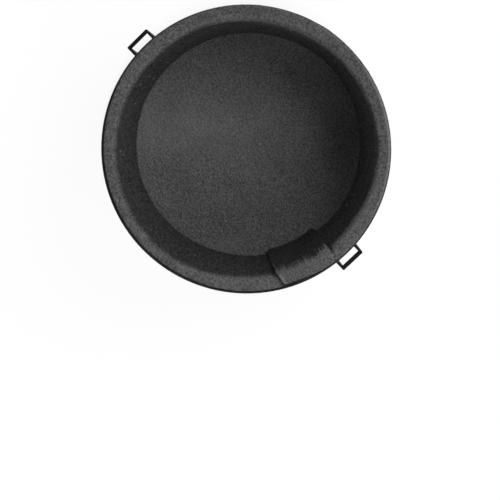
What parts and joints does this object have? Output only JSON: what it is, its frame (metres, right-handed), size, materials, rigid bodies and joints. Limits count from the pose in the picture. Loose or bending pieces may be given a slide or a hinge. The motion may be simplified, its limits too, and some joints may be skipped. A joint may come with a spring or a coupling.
{
  "type": "lens guard",
  "caption": "Soft moulded push-on cap with a felt-lined tapered mouth and side strap loops, which covers the front of a large camera lens.",
  "frame": {"origin": "on the axis, at the flat boss of the crown that the cap rests on", "axes": "+Z along the axis and out of the mouth, X through the two strap loops, Y across them"},
  "size_m": [0.1072, 0.1, 0.0351],
  "materials": {
    "shell_rubber": "matt moulded",
    "lining_felt": "pressed felt"
  },
  "bodies": {
    "root": {"shell": "shell_rubber", "strap_loop_right": "shell_rubber", "strap_loop_left": "shell_rubber", "wall_lining": "lining_felt", "floor_lining": "lining_felt"}
  },
  "joints": []
}
